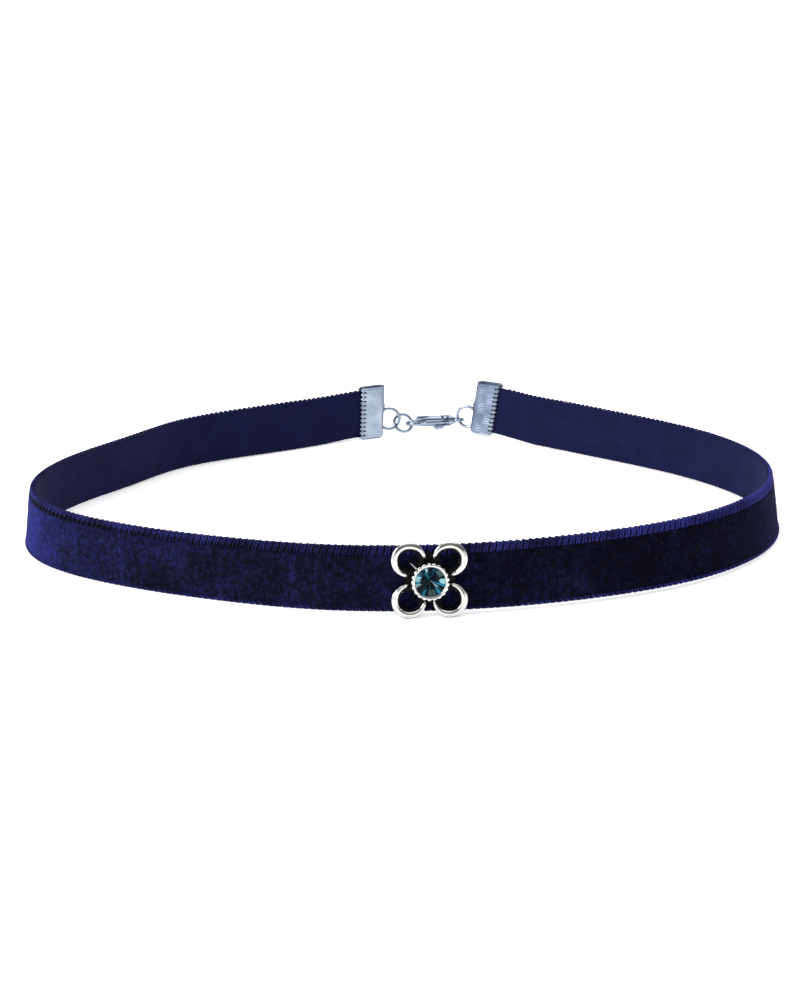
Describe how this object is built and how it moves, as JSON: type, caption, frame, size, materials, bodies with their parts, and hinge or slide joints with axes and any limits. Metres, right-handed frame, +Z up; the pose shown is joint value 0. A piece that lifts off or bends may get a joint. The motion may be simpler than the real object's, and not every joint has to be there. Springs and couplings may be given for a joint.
{
  "type": "choker necklace",
  "caption": "Velvet ribbon choker with a cast open-petal flower, a faceted round stone in a toothed bezel, ribbon clamps, rings and a lobster clasp.",
  "frame": {"origin": "middle of the floor under the necklace, which stands on its lower edge", "axes": "+X to the right across the loop, +Y from the flower at the front to the clasp at the back, +Z up"},
  "size_m": [0.1301, 0.1103, 0.0115],
  "materials": {
    "navy_velvet": "crushed velvet pile",
    "antique_silver": "cast and polished with black patina in the hollows",
    "pale_steel": "bright plated",
    "teal_glass": "faceted and foiled"
  },
  "bodies": {
    "choker": {"velvet_ribbon": "navy_velvet", "flower_setting": "antique_silver", "stone": "teal_glass", "post_washer": "antique_silver", "clamp_left": "pale_steel", "clamp_right": "pale_steel", "jump_ring_left": "pale_steel", "link_ring": "pale_steel", "jump_ring_right": "pale_steel", "clasp_body": "pale_steel"},
    "clasp_lever": {"clasp_lever": "pale_steel"}
  },
  "joints": [
    {"name": "lever_hinge", "type": "hinge", "parent": "choker", "child": "clasp_lever", "pos_m": [0.0087, 0.05218, 0.0029], "axis": [0.0563, -0.1657, -0.9846], "range_deg": [0, 22], "stiffness_Nm_per_rad": 0.002}
  ]
}
